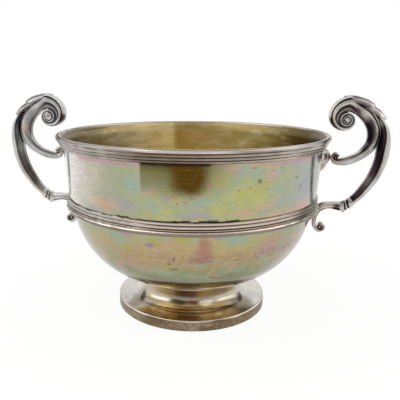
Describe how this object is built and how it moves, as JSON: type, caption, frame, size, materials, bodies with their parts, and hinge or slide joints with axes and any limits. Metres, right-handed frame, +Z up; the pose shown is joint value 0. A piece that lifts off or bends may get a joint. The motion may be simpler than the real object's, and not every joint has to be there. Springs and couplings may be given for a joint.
{
  "type": "loving cup",
  "caption": "Silver loving cup: deep bowl with reeded lip and girdle on a low spun foot, with an open scroll handle on each side.",
  "frame": {"origin": "centre of the foot, on the surface that the cup stands on", "axes": "+Z up along the cup's own axis, X through both handles, Y from front to back"},
  "size_m": [0.3124, 0.22, 0.1765],
  "materials": {
    "bowl_silver": "polished sterling silver with a thin uneven tarnish outside, worn gilding inside",
    "moulding_silver": "polished sterling silver, dark tarnish left in the grooves",
    "foot_silver": "polished sterling silver, warm tarnish, dull edge strip",
    "handle_silver": "cast sterling silver, bright on the raised edges and darkened in the hollows",
    "plate_silver": "cast sterling silver, satin where the solder was cleaned up"
  },
  "bodies": {
    "root": {"bowl_shell": "bowl_silver", "rim_moulding": "moulding_silver", "girdle_moulding": "moulding_silver", "foot_collar": "foot_silver", "foot_shell": "foot_silver", "foot_rim": "foot_silver", "right_volute_scroll": "handle_silver", "right_front_boss": "handle_silver", "right_back_boss": "handle_silver", "right_crown_leaf": "handle_silver", "right_outer_arm": "handle_silver", "right_knop": "handle_silver", "right_lower_scroll": "handle_silver", "right_upper_plate": "plate_silver", "right_lower_plate": "plate_silver", "left_volute_scroll": "handle_silver", "left_front_boss": "handle_silver", "left_back_boss": "handle_silver", "left_crown_leaf": "handle_silver", "left_outer_arm": "handle_silver", "left_knop": "handle_silver", "left_lower_scroll": "handle_silver", "left_upper_plate": "plate_silver", "left_lower_plate": "plate_silver"}
  },
  "joints": []
}
